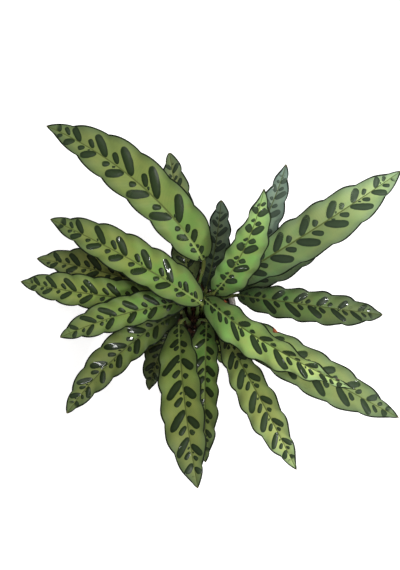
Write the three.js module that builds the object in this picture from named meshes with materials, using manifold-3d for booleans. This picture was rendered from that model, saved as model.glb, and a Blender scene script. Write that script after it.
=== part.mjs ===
// A rattlesnake plant in a plain round pot, in millimetres, +Z up.
// The origin is the middle of the pot's flat underside, on the surface that the pot stands on.
import * as THREE from "three";
import { mergeVertices } from "three/addons/utils/BufferGeometryUtils.js";
import Module from "manifold-3d";

// Pot: a tapered ceramic planter with a raised rim band and drain holes
const POT_HEIGHT = 104;
const POT_FOOT_RADIUS = 42;
const POT_RIM_RADIUS = 58;
const POT_WALL = 4.5;
const POT_FLOOR = 6;
const POT_FOOT_EDGE = 3;
const POT_FLOOR_EDGE = 3;
const POT_SIDES = 40;
const RIM_DEPTH = 12;
const RIM_STEP = 1.6;
const RIM_ROUNDING = 2;
const DRAIN_HOLES = 3;
const DRAIN_RADIUS = 4.5;
const DRAIN_CIRCLE = 22;
const DRAIN_SIDES = 16;

// Soil: the root ball, filled to a little below the rim, with a plain hole for each stalk
const SOIL_TOP = 91;
const SOIL_SHOULDER = 2;
const SOIL_MOUND = 5;
const SOIL_ROUGHNESS = 0.7;
const SOIL_RINGS = 5;
const GAP = 0.35;
const HOLE_SIDES = 8;

// Blades: thin waved sheets, folded a little along the midrib, with one half wider than the other
const BLADE_THICKNESS = 0.8;
const MIDRIB_DEPTH = 1.1;
const MIDRIB_TAPER = 0.8;
const MIDRIB_STEPS = 60;
const BLADE_ROWS = 26;
const BLADE_COLUMNS = 4;
const END_CROWDING = 0.4;
const LEFT_SHARE = 0.88;
const RIGHT_SHARE = 1.12;
const BEND_EASE = 0.7;
const BASE_END_WIDTH = 2.6;
const TIP_END_WIDTH = 1.4;
const BELLY = 0.07;
const FOLD = 16;
const FOLD_FLATTENING = 0.4;
const FOLD_SPREAD = 0.7;

// Waves along the blade's edges: their period is in blade widths, and the two edges are half a wave apart
const WAVE_PERIOD = 0.7;
const WAVE_HEIGHT = 2.4;
const WAVE_RISE = 1.5;
const WAVE_SHEAR = 0.55;
const WAVE_START = 4;
const WAVE_END = 5;
const SCALLOP = 0.045;

// Stalks: round, slimmer upwards, with a swollen joint under the blade
const STALK_SIDES = 6;
const STALK_ROWS = 10;
const STALK_FOOT_RADIUS = 2.2;
const STALK_TOP_RADIUS = 1.5;
const STALK_TAPER = 1.3;
const STALK_SINK = 12;
const STALK_STRAIGHT = 5;
const STALK_ARCH = 0.38;
const STALK_BEND = 0.17;
const STALK_MIDDLE = 0.35;
const STALK_MIDDLE_HEIGHT = 0.42;
const JOINT_RADIUS = 1.95;
const JOINT_START = 0.8;
const JOINT_FULL = 0.88;
const JOINT_DROP = 5;
const JOINT_BACK = 1.2;
const JOINT_REACH = 7;
const JOINT_DEPTH = 0.9;
const JOINT_END = 0.55;

// One row for each leaf: where its stalk leaves the soil, where its blade starts, and how the blade runs from
// there. Angles are in degrees. The bearing is counted from +X towards +Y and turns by the bend along the
// blade. The blade starts at the pitch above level and comes down by the droop. The roll lifts its left edge,
// and the twist adds to it towards the tip. The shoulder and the taper are how long the blade takes to widen
// from its base and to narrow to its tip, in widths. The point is 1 for a sharp tip and less for a rounder one.
const LEAF_FIELDS = ["footX", "footY", "x", "y", "z", "bearing", "bend", "pitch", "droop", "length", "width",
  "roll", "twist", "shoulder", "taper", "point"];
const LEAF_ROWS = [
  [10, 3, 16, 32, 250, 120, 35, 30, 34, 216, 49, -16, 8, 0.9, 2.0, 0.8],
  [9, -7, 14, -12, 240, 148, 6, 24, 34, 183, 42, 0, 0, 1.1, 2.2, 0.7],
  [-8, 5, -20, 8, 188, 162, 7, 18, 30, 158, 38, 0, 0, 1.4, 1.8, 0.75],
  [-10, -2, -20, -3, 204, 184, -18, 18, 30, 168, 35, -5, 0, 1.4, 1.7, 0.8],
  [0, -5, -2, -7, 217, 188, 15, 24, 34, 142, 34, -10, 0, 1.1, 1.8, 0.7],
  [-6, -10, -10, -16, 201, 207, 27, 24, 36, 166, 37, -10, 0, 1.3, 2.2, 0.65],
  [-9, -17, -11, -24, 168, 226, 34, 14, 32, 86, 30, 0, 0, 1.2, 1.7, 0.75],
  [-1, -17, -10, -31, 212, 271, 10, 28, 24, 176, 44, 18, -10, 1.4, 1.6, 0.75],
  [10, -18, 20, -25, 186, 267, 4, 22, 28, 155, 34, 10, 10, 1.3, 1.7, 0.75],
  [20, -20, 36, -33, 184, 299, -3, 24, 30, 174, 40, 30, -10, 2.4, 1.9, 0.8],
  [15, -3, 18, -7, 238, 313, 23, 28, 30, 183, 46, 38, 30, 1.1, 2.6, 0.9],
  [21, -10, 34, -18, 205, 322, 11, 22, 28, 219, 46, -15, 10, 2.3, 2.0, 0.8],
  [27, 0, 54, 2, 209, 346, 8, 24, 32, 158, 36, -12, 5, 1.5, 1.7, 0.7],
  [23, 6, 38, 12, 225, 23, 12, 34, 32, 219, 49, -20, 18, 2.2, 1.9, 0.8],
  [29, 8, 50, 12, 194, 28, 5, 22, 26, 138, 43, -5, -10, 1.6, 1.7, 0.75],
  [18, 3, 27, -1, 242, 33, 46, 54, 18, 137, 38, 20, 5, 1.1, 2.0, 0.8],
  [25, 15, 46, 26, 206, 42, 32, 42, 20, 138, 32, 0, 0, 1.5, 2.6, 0.65],
  [17, 9, 19, 9, 205, 71, 14, 46, 22, 105, 27, 0, 0, 1.4, 1.8, 0.55],
  [2, 10, 1, 14, 206, 99, 0, 34, 26, 146, 32, -10, -8, 1.2, 1.9, 0.55],
  [15, -27, 20, -34, 148, 305, -6, 12, 26, 42, 18, 0, 0, 1.2, 1.5, 0.75],
];
const leaves = LEAF_ROWS.map((row) => Object.fromEntries(LEAF_FIELDS.map((field, i) => [field, row[i]])));

const UP = new THREE.Vector3(0, 0, 1);
const radians = THREE.MathUtils.degToRad;
const clamp = THREE.MathUtils.clamp;
const lerp = THREE.MathUtils.lerp;

const wasm = await Module();
wasm.setup();

// A closed geometry becomes a solid that can be joined and cut, and comes back as a geometry
function solid(geometry) {
  const bare = geometry.clone();
  bare.deleteAttribute("normal");
  bare.deleteAttribute("uv");
  const merged = mergeVertices(bare, 1e-4);
  const mesh = new wasm.Mesh({
    numProp: 3,
    vertProperties: Float32Array.from(merged.attributes.position.array),
    triVerts: Uint32Array.from(merged.index.array),
  });
  return new wasm.Manifold(mesh);
}

function geometryOf(body) {
  const { numProp, vertProperties, triVerts } = body.getMesh();
  const positions = [];
  for (let i = 0; i < vertProperties.length; i += numProp) {
    positions.push(vertProperties[i], vertProperties[i + 1], vertProperties[i + 2]);
  }
  const geometry = new THREE.BufferGeometry();
  geometry.setAttribute("position", new THREE.Float32BufferAttribute(positions, 3));
  geometry.setIndex(Array.from(triVerts));
  geometry.computeVertexNormals();
  return geometry;
}

// The pot: its walls run straight from the foot to the rim, inside and out
function potOuterRadius(z) {
  return POT_FOOT_RADIUS + ((POT_RIM_RADIUS - POT_FOOT_RADIUS) * z) / POT_HEIGHT;
}

function potInnerRadius(z) {
  return potOuterRadius(z) - POT_WALL;
}

function lathe(profile) {
  const geometry = new THREE.LatheGeometry(profile.map(([r, z]) => new THREE.Vector2(r, z)), POT_SIDES);
  return geometry.rotateX(Math.PI / 2);
}

function potGeometry() {
  const band = POT_HEIGHT - RIM_DEPTH;
  const profile = [
    [0, 0],
    [POT_FOOT_RADIUS - POT_FOOT_EDGE, 0],
    [potOuterRadius(POT_FOOT_EDGE), POT_FOOT_EDGE],
    [potOuterRadius(band) - RIM_STEP, band - RIM_STEP / 2],
    [potOuterRadius(band), band + RIM_STEP / 2],
    [POT_RIM_RADIUS, POT_HEIGHT - RIM_ROUNDING],
    [POT_RIM_RADIUS - RIM_ROUNDING / 2, POT_HEIGHT],
    [potInnerRadius(POT_HEIGHT) + RIM_ROUNDING / 2, POT_HEIGHT],
    [potInnerRadius(POT_HEIGHT - RIM_ROUNDING), POT_HEIGHT - RIM_ROUNDING],
    [potInnerRadius(POT_FLOOR + POT_FLOOR_EDGE), POT_FLOOR + POT_FLOOR_EDGE],
    [potInnerRadius(POT_FLOOR) - POT_FLOOR_EDGE, POT_FLOOR],
    [0, POT_FLOOR],
  ];
  let pot = solid(lathe(profile));
  for (let i = 0; i < DRAIN_HOLES; i++) {
    const angle = (2 * Math.PI * i) / DRAIN_HOLES;
    const hole = new THREE.CylinderGeometry(DRAIN_RADIUS, DRAIN_RADIUS, 3 * POT_FLOOR, DRAIN_SIDES);
    hole.rotateX(Math.PI / 2);
    hole.translate(DRAIN_CIRCLE * Math.cos(angle), DRAIN_CIRCLE * Math.sin(angle), 0);
    pot = pot.subtract(solid(hole));
  }
  return geometryOf(pot);
}

// The soil's surface: a low mound with small lumps
function soilHeight(x, y) {
  const edge = potInnerRadius(SOIL_TOP);
  const mound = SOIL_MOUND * Math.max(0, 1 - (x * x + y * y) / (edge * edge));
  const lumps = Math.sin(x * 0.31 + 1) * Math.cos(y * 0.27) + 0.6 * Math.sin(x * 0.13 - y * 0.52);
  return SOIL_TOP + mound + SOIL_ROUGHNESS * lumps;
}

function soilGeometry() {
  const edge = potInnerRadius(SOIL_TOP - SOIL_SHOULDER) - GAP;
  const profile = [
    [0, POT_FLOOR + GAP],
    [potInnerRadius(POT_FLOOR) - POT_FLOOR_EDGE - GAP, POT_FLOOR + GAP],
    [potInnerRadius(POT_FLOOR + POT_FLOOR_EDGE) - GAP, POT_FLOOR + POT_FLOOR_EDGE + GAP],
    [edge, SOIL_TOP - SOIL_SHOULDER],
  ];
  for (let i = SOIL_RINGS; i >= 0; i--) {
    profile.push([((edge - SOIL_SHOULDER / 2) * i) / SOIL_RINGS, SOIL_TOP]);
  }
  const geometry = lathe(profile);
  const position = geometry.attributes.position;
  for (let i = 0; i < position.count; i++) {
    if (position.getZ(i) > SOIL_TOP - SOIL_SHOULDER / 2) {
      position.setZ(i, soilHeight(position.getX(i), position.getY(i)));
    }
  }
  let soil = solid(geometry);
  const depth = STALK_SINK + GAP;
  const radius = (STALK_FOOT_RADIUS + GAP) / Math.cos(Math.PI / HOLE_SIDES);
  for (const { footX, footY } of leaves) {
    const hole = new THREE.CylinderGeometry(radius, radius, 2 * depth, HOLE_SIDES);
    hole.rotateX(Math.PI / 2);
    hole.translate(footX, footY, soilHeight(footX, footY));
    soil = soil.subtract(solid(hole));
  }
  return geometryOf(soil);
}

// The blade's own directions at t from base (0) to tip (1): along it, to its left edge, and out of its face
function bladeAxes(leaf, t) {
  const heading = radians(leaf.bearing + leaf.bend * t ** BEND_EASE);
  const slope = radians(leaf.pitch - leaf.droop * t);
  const along = new THREE.Vector3(
    Math.cos(slope) * Math.cos(heading), Math.cos(slope) * Math.sin(heading), Math.sin(slope));
  const level = new THREE.Vector3(-Math.sin(heading), Math.cos(heading), 0);
  const out = new THREE.Vector3().crossVectors(along, level);
  const roll = radians(leaf.roll + leaf.twist * t);
  const left = level.clone().multiplyScalar(Math.cos(roll)).addScaledVector(out, Math.sin(roll));
  const face = new THREE.Vector3().crossVectors(along, left);
  return { along, left, face };
}

// Points down the midrib, stepped along the turning direction
function midribPoints(leaf) {
  const point = new THREE.Vector3(leaf.x, leaf.y, leaf.z);
  const points = [point.clone()];
  for (let i = 0; i < MIDRIB_STEPS; i++) {
    const { along } = bladeAxes(leaf, (i + 0.5) / MIDRIB_STEPS);
    point.addScaledVector(along, leaf.length / MIDRIB_STEPS);
    points.push(point.clone());
  }
  return points;
}

function pointOn(points, t) {
  const place = clamp(t, 0, 1) * (points.length - 1);
  const i = Math.min(Math.floor(place), points.length - 2);
  return points[i].clone().lerp(points[i + 1], place - i);
}

// Half of the blade's width at t: a rounded base, nearly parallel sides and a tapering tip
function halfWidth(leaf, t) {
  const fromBase = clamp((t * leaf.length) / (leaf.shoulder * leaf.width), 0, 1);
  const fromTip = clamp(((1 - t) * leaf.length) / (leaf.taper * leaf.width), 0, 1);
  const base = Math.sqrt(1 - (1 - fromBase) ** 2);
  const tip = Math.sin((fromTip * Math.PI) / 2) ** leaf.point;
  const belly = 1 - BELLY * (1 - Math.sin(Math.PI * t));
  const least = lerp(BASE_END_WIDTH, TIP_END_WIDTH, t) / 2;
  return Math.max(least, (leaf.width / 2) * base * tip * belly);
}

// A point of the blade at t along it and v across it, from the right edge (-1) to the left edge (1)
function bladePoint(leaf, midrib, t, v, lift) {
  const { left, face } = bladeAxes(leaf, t);
  const across = Math.abs(v);
  const waves = leaf.length / (WAVE_PERIOD * leaf.width);
  const side = v < 0 ? Math.PI : 0;
  const phase = 2 * Math.PI * (waves * t - WAVE_SHEAR * across) + side;
  const ends = Math.min(1, WAVE_START * t, WAVE_END * (1 - t));
  const share = v < 0 ? RIGHT_SHARE : LEFT_SHARE;
  const half = halfWidth(leaf, t) * share * (1 + SCALLOP * ends * across * Math.cos(phase));
  const fold = half * Math.sin(radians(FOLD)) * across * (1 - FOLD_FLATTENING * across);
  const wave = WAVE_HEIGHT * ends * across ** WAVE_RISE * Math.sin(phase);
  return pointOn(midrib, t)
    .addScaledVector(left, v * half * Math.cos(radians(FOLD) * FOLD_SPREAD))
    .addScaledVector(face, fold + wave + lift);
}

// A thin closed sheet: the same grid on both faces, split alike, with walls round its border.
// place(u, v, upper) puts a grid point, with u to the right and v forwards, both from 0 to 1.
function closedSheet(columns, rows, place) {
  const grid = new THREE.PlaneGeometry(1, 1, columns, rows);
  const uv = grid.attributes.uv;
  const faces = grid.index.array;
  const positions = [];
  for (const upper of [true, false]) {
    for (let i = 0; i < uv.count; i++) {
      positions.push(...place(uv.getX(i), uv.getY(i), upper).toArray());
    }
  }
  const below = uv.count;
  const index = [...faces];
  for (let i = 0; i < faces.length; i += 3) {
    index.push(faces[i] + below, faces[i + 2] + below, faces[i + 1] + below);
  }
  const wide = columns + 1;
  const border = [];
  for (let i = 0; i < columns; i++) border.push(rows * wide + i);
  for (let j = rows; j > 0; j--) border.push(j * wide + columns);
  for (let i = columns; i > 0; i--) border.push(i);
  for (let j = 0; j < rows; j++) border.push(j * wide);
  border.forEach((from, k) => {
    const to = border[(k + 1) % border.length];
    index.push(from + below, to + below, to, from + below, to, from);
  });
  const geometry = new THREE.BufferGeometry();
  geometry.setAttribute("position", new THREE.Float32BufferAttribute(positions, 3));
  geometry.setIndex(index);
  return geometry;
}

// The midrib is the middle column, which stands out below the blade and thins towards the tip
function bladeGeometry(leaf) {
  const midrib = midribPoints(leaf);
  return closedSheet(BLADE_COLUMNS, BLADE_ROWS, (u, v, upper) => {
    const t = v - (END_CROWDING * Math.sin(2 * Math.PI * v)) / (2 * Math.PI);
    const across = 1 - 2 * u;
    const rib = across === 0 ? MIDRIB_DEPTH * (1 - MIDRIB_TAPER * t) : 0;
    const lift = upper ? BLADE_THICKNESS / 2 : -BLADE_THICKNESS / 2 - rib;
    return bladePoint(leaf, midrib, t, across, lift);
  });
}

// The stalk's line above the soil: upright, then arching outwards, and bending into the midrib at the joint
function stalkCurve(leaf, foot) {
  const { along, face } = bladeAxes(leaf, 0);
  const base = new THREE.Vector3(leaf.x, leaf.y, leaf.z);
  const rise = base.z - foot.z;
  const back = new THREE.Vector3(along.x, along.y, 0).normalize().multiplyScalar(-JOINT_BACK);
  const under = foot.clone().lerp(base, STALK_ARCH).setZ(base.z - STALK_BEND * rise);
  return new THREE.CatmullRomCurve3([
    foot.clone().setZ(foot.z + STALK_STRAIGHT),
    foot.clone().lerp(under, STALK_MIDDLE).setZ(foot.z + STALK_MIDDLE_HEIGHT * rise),
    under,
    base.clone().add(back).setZ(base.z - JOINT_DROP),
    base.clone().addScaledVector(along, JOINT_REACH).addScaledVector(face, -JOINT_DEPTH),
  ], false, "centripetal");
}

function stalkRadius(t) {
  const slim = lerp(STALK_FOOT_RADIUS, STALK_TOP_RADIUS, Math.min(1, t * STALK_TAPER));
  const joint = THREE.MathUtils.smoothstep(t, JOINT_START, JOINT_FULL);
  return lerp(slim, JOINT_RADIUS, joint) * (t === 1 ? JOINT_END : 1);
}

// The stalk is a cylinder whose rings are moved onto its line, from inside the soil to under the blade
function stalkGeometry(leaf) {
  const foot = new THREE.Vector3(leaf.footX, leaf.footY, soilHeight(leaf.footX, leaf.footY));
  const curve = stalkCurve(leaf, foot);
  const centres = [foot.clone().setZ(foot.z - STALK_SINK)];
  const tangents = [UP];
  const radii = [STALK_FOOT_RADIUS];
  for (let i = 0; i < STALK_ROWS; i++) {
    const t = i / (STALK_ROWS - 1);
    centres.push(curve.getPointAt(t));
    tangents.push(i === 0 ? UP : curve.getTangentAt(t));
    radii.push(stalkRadius(t));
  }
  const heading = radians(leaf.bearing);
  let first = new THREE.Vector3(Math.cos(heading), Math.sin(heading), 0);
  const firsts = tangents.map((tangent) => {
    first = first.clone().addScaledVector(tangent, -first.dot(tangent)).normalize();
    return first;
  });
  const geometry = new THREE.CylinderGeometry(1, 1, 1, STALK_SIDES, STALK_ROWS);
  const position = geometry.attributes.position;
  for (let i = 0; i < position.count; i++) {
    const row = Math.round((position.getY(i) + 0.5) * STALK_ROWS);
    const second = new THREE.Vector3().crossVectors(tangents[row], firsts[row]);
    const point = centres[row].clone()
      .addScaledVector(firsts[row], position.getZ(i) * radii[row])
      .addScaledVector(second, position.getX(i) * radii[row]);
    position.setXYZ(i, ...point.toArray());
  }
  return geometry;
}

function leafGeometry(leaf) {
  return geometryOf(solid(bladeGeometry(leaf)).add(solid(stalkGeometry(leaf))));
}

const ceramic = new THREE.MeshStandardMaterial({ color: "#d9d5cb", roughness: 0.55, metalness: 0 });
const earth = new THREE.MeshStandardMaterial({ color: "#3b2a1f", roughness: 0.95, metalness: 0 });
const foliage = new THREE.MeshStandardMaterial({ color: "#7f9a52", roughness: 0.45, metalness: 0 });

function part(name, geometry, material) {
  const mesh = new THREE.Mesh(geometry, material);
  mesh.name = name;
  return mesh;
}

const plant = new THREE.Group();
plant.add(part("pot", potGeometry(), ceramic));
plant.add(part("soil", soilGeometry(), earth));
leaves.forEach((leaf, i) => {
  plant.add(part(`leaf_${String(i + 1).padStart(2, "0")}`, leafGeometry(leaf), foliage));
});

export default plant;
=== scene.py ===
import math
import random
from collections import namedtuple

import bmesh
import bpy
from mathutils import Matrix, Vector, noise


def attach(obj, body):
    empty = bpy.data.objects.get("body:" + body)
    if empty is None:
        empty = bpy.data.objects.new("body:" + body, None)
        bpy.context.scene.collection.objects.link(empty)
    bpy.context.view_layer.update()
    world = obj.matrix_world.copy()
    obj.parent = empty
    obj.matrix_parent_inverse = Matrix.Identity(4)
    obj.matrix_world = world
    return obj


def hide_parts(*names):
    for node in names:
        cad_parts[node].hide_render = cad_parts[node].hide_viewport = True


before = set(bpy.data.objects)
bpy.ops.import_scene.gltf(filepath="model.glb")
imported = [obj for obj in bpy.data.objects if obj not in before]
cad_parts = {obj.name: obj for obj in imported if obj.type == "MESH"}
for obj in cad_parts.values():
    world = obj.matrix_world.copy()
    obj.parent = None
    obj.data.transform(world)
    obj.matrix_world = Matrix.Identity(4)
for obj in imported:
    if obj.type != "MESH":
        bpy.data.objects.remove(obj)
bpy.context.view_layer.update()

# The pot
# A plain tapered planter of fired clay, thrown on a wheel, with a raised band under its rim. Its satin
# off-white glaze covers all but the foot. It stands on its flat underside, which has three drain holes.
POT_HEIGHT = 0.104
POT_FOOT_RADIUS = 0.042
POT_RIM_RADIUS = 0.058
POT_WALL = 0.0045
POT_FLOOR = 0.006
POT_FOOT_EDGE = 0.003
POT_FLOOR_EDGE = 0.003
POT_SIDES = 144
RIM_DEPTH = 0.012
RIM_STEP = 0.0016
RIM_ROUNDING = 0.002
CORNER_SHARE = 0.4
CORNER_STEPS = 5
DRAIN_HOLES = 3
DRAIN_RADIUS = 0.0045
DRAIN_CIRCLE = 0.022
DRAIN_SIDES = 32
BARE_FOOT_HEIGHT = 0.0032
GLAZE_EDGE = 0.001
GLAZE_WAVER = 0.002
THROWING_DEPTH = 0.00025


def paint(code):
    """A colour that is given as six hex digits, as the linear values that materials take."""
    shares = [int(code[i:i + 2], 16) / 255 for i in (0, 2, 4)]
    return (*[s / 12.92 if s <= 0.04045 else ((s + 0.055) / 1.055) ** 2.4 for s in shares], 1)


def add(tree, kind, values=None, **settings):
    """Adds a node. Each value is stored in an input socket, or linked to it if it is a node's output."""
    node = tree.nodes.new("ShaderNode" + kind)
    for name, setting in settings.items():
        setattr(node, name, setting)
    for socket, value in (values or {}).items():
        if isinstance(value, bpy.types.NodeSocket):
            tree.links.new(value, node.inputs[socket])
        else:
            node.inputs[socket].default_value = value
    return node


def sum_of(tree, operation, *values):
    """One step of arithmetic between numbers or sockets."""
    return add(tree, "Math", dict(enumerate(values)), operation=operation).outputs[0]


def ramp(tree, value, low, high, bottom=0.0, top=1.0):
    """Rises smoothly from bottom, where value is low, to top, where it is high."""
    values = {"Value": value, "From Min": low, "From Max": high, "To Min": bottom, "To Max": top}
    return add(tree, "MapRange", values, interpolation_type="SMOOTHSTEP").outputs[0]


def blend(tree, amount, first, second):
    """A colour between two colours."""
    return add(tree, "Mix", {0: amount, 6: first, 7: second}, data_type="RGBA").outputs[2]


def cloud(tree, size, detail=2.0, place=None, roughness=0.5):
    """Soft noise from 0 to 1 with lumps of about the given size in metres."""
    if place is None:
        place = add(tree, "TexCoord").outputs["Object"]
    values = {"Vector": place, "Scale": 1 / size, "Detail": detail, "Roughness": roughness}
    return add(tree, "TexNoise", values).outputs[0]


def finish_material(name):
    """An empty material: its node tree and its surface shader."""
    material = bpy.data.materials.new(name)
    material.use_nodes = True
    return material, material.node_tree, material.node_tree.nodes["Principled BSDF"]


def bump(tree, surface, height, depth):
    """Raises the surface by height times depth in metres."""
    relief = add(tree, "Bump", {"Height": height, "Distance": depth, "Strength": 1.0})
    tree.links.new(relief.outputs[0], surface.inputs["Normal"])


def make_piece(name, shape, materials):
    """A finished smooth piece from a bmesh, with its materials. The plant's one body carries it."""
    mesh = bpy.data.meshes.new(name)
    for face in shape.faces:
        face.smooth = True
    shape.to_mesh(mesh)
    shape.free()
    for material in materials:
        mesh.materials.append(material)
    piece = bpy.data.objects.new(name, mesh)
    bpy.context.scene.collection.objects.link(piece)
    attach(piece, "root")
    return piece


def pot_outer_radius(z):
    return POT_FOOT_RADIUS + (POT_RIM_RADIUS - POT_FOOT_RADIUS) * z / POT_HEIGHT


def pot_inner_radius(z):
    return pot_outer_radius(z) - POT_WALL


def rounded(corners):
    """A profile with each inner corner turned into a short arc between its neighbours."""
    points = [Vector(corners[0])]
    for before, corner, after in zip(corners, corners[1:], corners[2:]):
        before, corner, after = Vector(before), Vector(corner), Vector(after)
        nearest = min((before - corner).length, (after - corner).length)
        reach = min(CORNER_SHARE * nearest, RIM_ROUNDING)
        start = corner + (before - corner).normalized() * reach
        end = corner + (after - corner).normalized() * reach
        for i in range(CORNER_STEPS + 1):
            t = i / CORNER_STEPS
            points.append(start * (1 - t) ** 2 + corner * 2 * t * (1 - t) + end * t ** 2)
    points.append(Vector(corners[-1]))
    return points


def spun(profile, sides):
    """A closed round body from a profile of radius and height that starts and ends on the axis."""
    shape = bmesh.new()
    line = [shape.verts.new((point[0], 0, point[1])) for point in profile]
    edges = [shape.edges.new(pair) for pair in zip(line, line[1:])]
    bmesh.ops.spin(shape, geom=line + edges, axis=(0, 0, 1), angle=math.tau, steps=sides, use_merge=True)
    bmesh.ops.remove_doubles(shape, verts=shape.verts, dist=1e-6)
    bmesh.ops.recalc_face_normals(shape, faces=shape.faces)
    return shape


def cut_holes(piece, places, radius, depth):
    """Cuts upright round holes of the given depth, centred on the level z = 0, through a piece."""
    tool_shape = bmesh.new()
    for x, y in places:
        matrix = Matrix.Translation((x, y, 0))
        bmesh.ops.create_cone(tool_shape, cap_ends=True, segments=DRAIN_SIDES, radius1=radius,
                              radius2=radius, depth=depth, matrix=matrix)
    tool_mesh = bpy.data.meshes.new("hole_cutter")
    tool_shape.to_mesh(tool_mesh)
    tool_shape.free()
    tool = bpy.data.objects.new("hole_cutter", tool_mesh)
    bpy.context.scene.collection.objects.link(tool)
    cut = piece.modifiers.new("holes", "BOOLEAN")
    cut.operation = "DIFFERENCE"
    cut.object = tool
    depsgraph = bpy.context.evaluated_depsgraph_get()
    finished = bpy.data.meshes.new_from_object(piece.evaluated_get(depsgraph))
    piece.modifiers.clear()
    piece.data = finished
    bpy.data.objects.remove(tool)


pot_band = POT_HEIGHT - RIM_DEPTH
pot_profile = [
    (0, 0),
    (POT_FOOT_RADIUS - POT_FOOT_EDGE, 0),
    (pot_outer_radius(POT_FOOT_EDGE), POT_FOOT_EDGE),
    (pot_outer_radius(pot_band) - RIM_STEP, pot_band - RIM_STEP / 2),
    (pot_outer_radius(pot_band), pot_band + RIM_STEP / 2),
    (POT_RIM_RADIUS, POT_HEIGHT - RIM_ROUNDING),
    (POT_RIM_RADIUS - RIM_ROUNDING / 2, POT_HEIGHT),
    (pot_inner_radius(POT_HEIGHT) + RIM_ROUNDING / 2, POT_HEIGHT),
    (pot_inner_radius(POT_HEIGHT - RIM_ROUNDING), POT_HEIGHT - RIM_ROUNDING),
    (pot_inner_radius(POT_FLOOR + POT_FLOOR_EDGE), POT_FLOOR + POT_FLOOR_EDGE),
    (pot_inner_radius(POT_FLOOR) - POT_FLOOR_EDGE, POT_FLOOR),
    (0, POT_FLOOR),
]

GLAZE_PALE = paint("efece4")
GLAZE_WARM = paint("e2dccf")
GLAZE_SPECK = paint("7d6a55")
BARE_CLAY = paint("b79a7c")

glaze, tree, surface = finish_material("glazed_clay")
pot_place = add(tree, "TexCoord").outputs["Object"]
pot_level = add(tree, "SeparateXYZ", {0: pot_place}).outputs[2]
glaze_tone = blend(tree, cloud(tree, 0.03, 3), GLAZE_PALE, GLAZE_WARM)
specks = ramp(tree, cloud(tree, 0.0016, 1), 0.70, 0.76, 0, 0.45)
glaze_tone = blend(tree, specks, glaze_tone, GLAZE_SPECK)
glaze_level = sum_of(tree, "MULTIPLY_ADD", cloud(tree, 0.02), GLAZE_WAVER, pot_level)
glazed = ramp(tree, glaze_level, BARE_FOOT_HEIGHT, BARE_FOOT_HEIGHT + GLAZE_EDGE)
glaze_tone = blend(tree, glazed, BARE_CLAY, glaze_tone)
tree.links.new(glaze_tone, surface.inputs["Base Color"])
tree.links.new(ramp(tree, glazed, 0, 1, 0.85, 0.42), surface.inputs["Roughness"])
rings = {"Vector": pot_place, "Scale": 60.0, "Distortion": 1.5, "Detail": 1.0}
throwing_lines = add(tree, "TexWave", rings, bands_direction="Z").outputs[1]
throwing = sum_of(tree, "MULTIPLY_ADD", throwing_lines, 0.4, cloud(tree, 0.004, 3))
bump(tree, surface, throwing, THROWING_DEPTH)

pot = make_piece("planter", spun(rounded(pot_profile), POT_SIDES), [glaze])
drain_angles = [math.tau * i / DRAIN_HOLES for i in range(DRAIN_HOLES)]
drain_places = [(DRAIN_CIRCLE * math.cos(a), DRAIN_CIRCLE * math.sin(a)) for a in drain_angles]
cut_holes(pot, drain_places, DRAIN_RADIUS, 3 * POT_FLOOR)
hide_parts("pot")

# The soil
# The root ball in its peat-based potting mix, pressed into the pot and a little mounded. It holds the
# roots, and the stalks come up through it.
SOIL_TOP = 0.091
SOIL_SHOULDER = 0.002
SOIL_MOUND = 0.005
SOIL_ROUGHNESS = 0.0007
SOIL_RINGS = 44
SOIL_SIDES = 150
SOIL_GAP = 0.00035
CRUMB_SIZE = 0.004
CRUMB_HEIGHT = 0.0016
CRUMB_FADE = 0.003
FINE_CRUMBS_SMALLER = 2.7
FINE_CRUMBS_SHARE = 0.6


def soil_height(x, y):
    """The soil's smooth surface: a low mound with lumps, whose waves are about 12 to 48 mm long."""
    edge = pot_inner_radius(SOIL_TOP)
    mound = SOIL_MOUND * max(0, 1 - (x * x + y * y) / (edge * edge))
    lumps = math.sin(310 * x + 1) * math.cos(270 * y) + 0.6 * math.sin(130 * x - 520 * y)
    return SOIL_TOP + mound + SOIL_ROUGHNESS * lumps


def soil_crumbs(x, y):
    """Fine crumbs on top of the smooth surface, fading out at the pot's wall."""
    fade = min(1, max(0, (pot_inner_radius(SOIL_TOP) - math.hypot(x, y)) / CRUMB_FADE))
    coarse = noise.noise(Vector((x, y, 0)) / CRUMB_SIZE)
    fine = noise.noise(Vector((x, y, 0.3)) / (CRUMB_SIZE / FINE_CRUMBS_SMALLER))
    return fade * CRUMB_HEIGHT * (coarse + FINE_CRUMBS_SHARE * fine)


soil_edge = pot_inner_radius(SOIL_TOP - SOIL_SHOULDER) - SOIL_GAP
soil_profile = [
    (0, POT_FLOOR + SOIL_GAP),
    (pot_inner_radius(POT_FLOOR) - POT_FLOOR_EDGE - SOIL_GAP, POT_FLOOR + SOIL_GAP),
    (pot_inner_radius(POT_FLOOR + POT_FLOOR_EDGE) - SOIL_GAP, POT_FLOOR + POT_FLOOR_EDGE + SOIL_GAP),
    (soil_edge, SOIL_TOP - SOIL_SHOULDER),
]
for i in range(SOIL_RINGS, -1, -1):
    soil_profile.append(((soil_edge - SOIL_SHOULDER / 2) * i / SOIL_RINGS, SOIL_TOP))
soil_shape = spun(soil_profile, SOIL_SIDES)
for vert in soil_shape.verts:
    if vert.co.z > SOIL_TOP - SOIL_SHOULDER / 2:
        vert.co.z = soil_height(vert.co.x, vert.co.y) + soil_crumbs(vert.co.x, vert.co.y)

PEAT_DARK = paint("150e0a")
PEAT_BROWN = paint("35271b")
PEAT_FIBRE = paint("54402c")

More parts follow.
